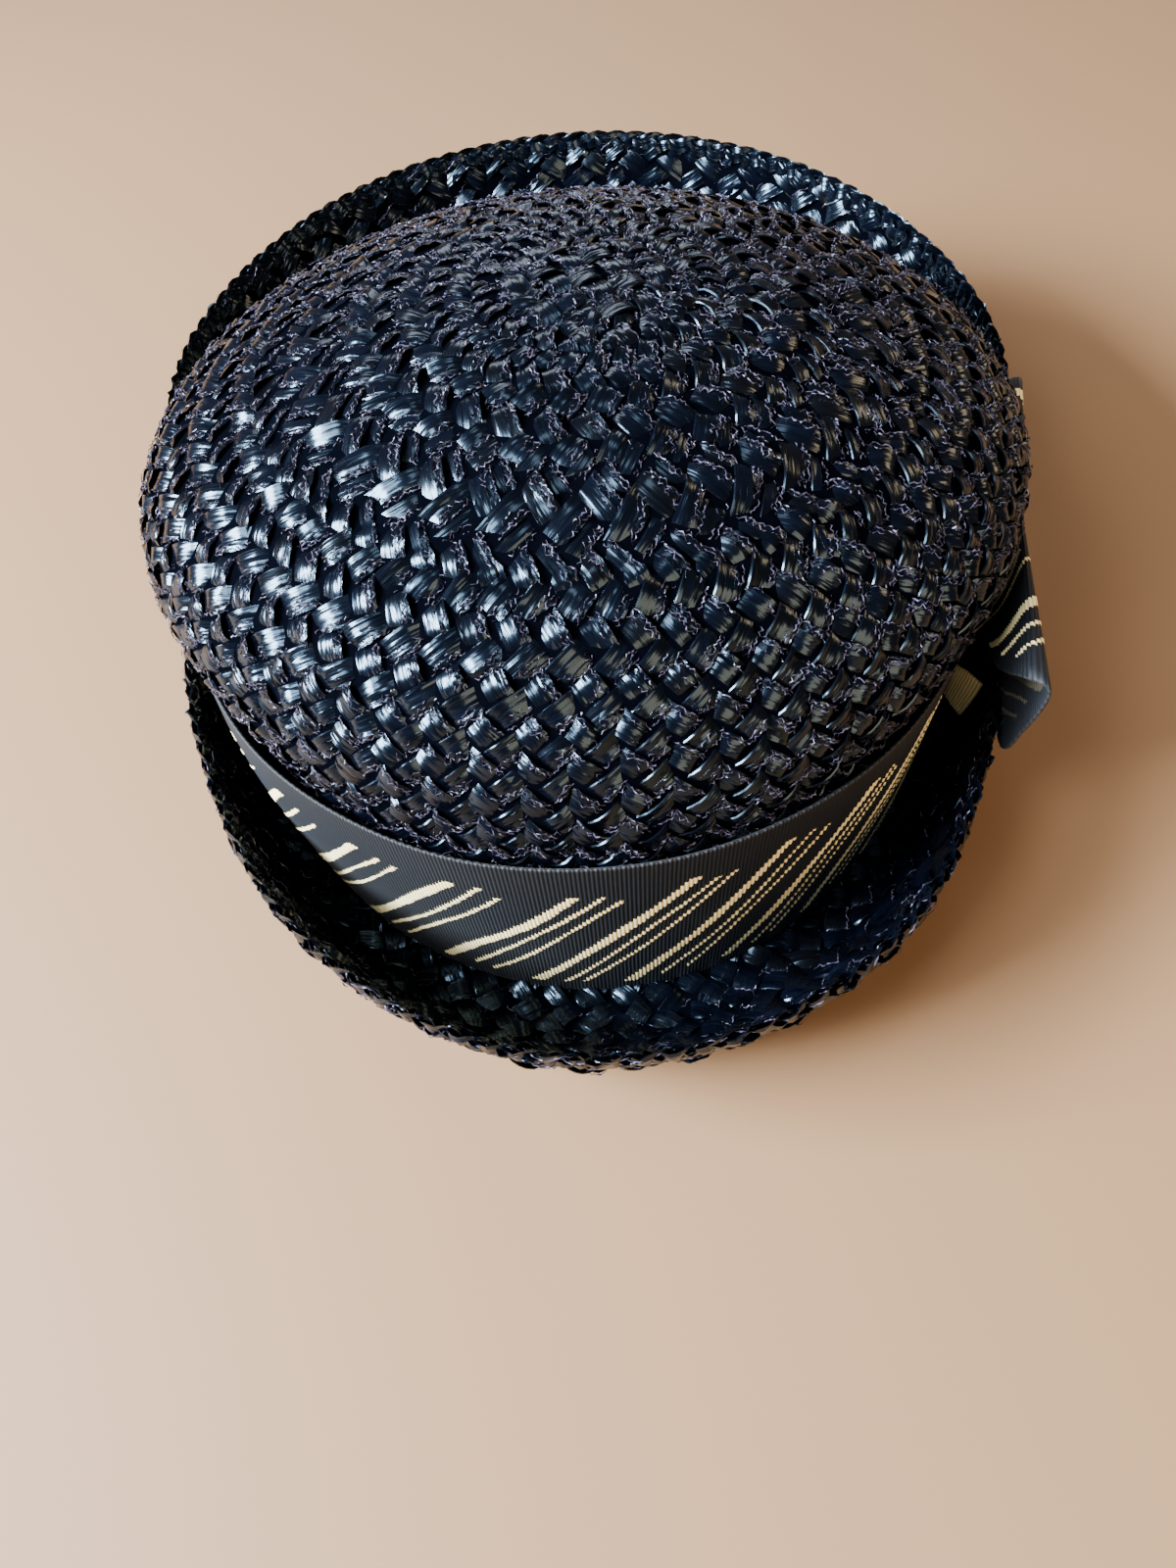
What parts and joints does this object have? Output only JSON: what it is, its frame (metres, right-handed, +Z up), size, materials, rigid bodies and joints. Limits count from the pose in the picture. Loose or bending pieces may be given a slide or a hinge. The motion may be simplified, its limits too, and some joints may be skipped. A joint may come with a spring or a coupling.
{
  "type": "breton hat",
  "caption": "Dark straw Breton hat with a domed crown, a brim turned up all round, a striped ribbon band and a flat ribbon bow at one side",
  "frame": {"origin": "centre of the bounding box at floor level, under the flat ring that the hat rests on", "axes": "+Z up, +Y towards the front of the hat, +X towards the wearer's right"},
  "size_m": [0.224, 0.2876, 0.1075],
  "materials": {
    "straw": "glossy flat woven straw, navy black",
    "straw_edge": "glossy woven straw edge, navy black",
    "ribbon": "ribbed grosgrain, charcoal with cream strokes"
  },
  "bodies": {
    "root": {"crown": "straw", "brim": "straw", "brim_edge": "straw_edge", "ribbon_band": "ribbon", "bow_loop_back": "ribbon", "bow_loop_front": "ribbon", "bow_knot": "ribbon", "bow_tuck": "ribbon"}
  },
  "joints": []
}
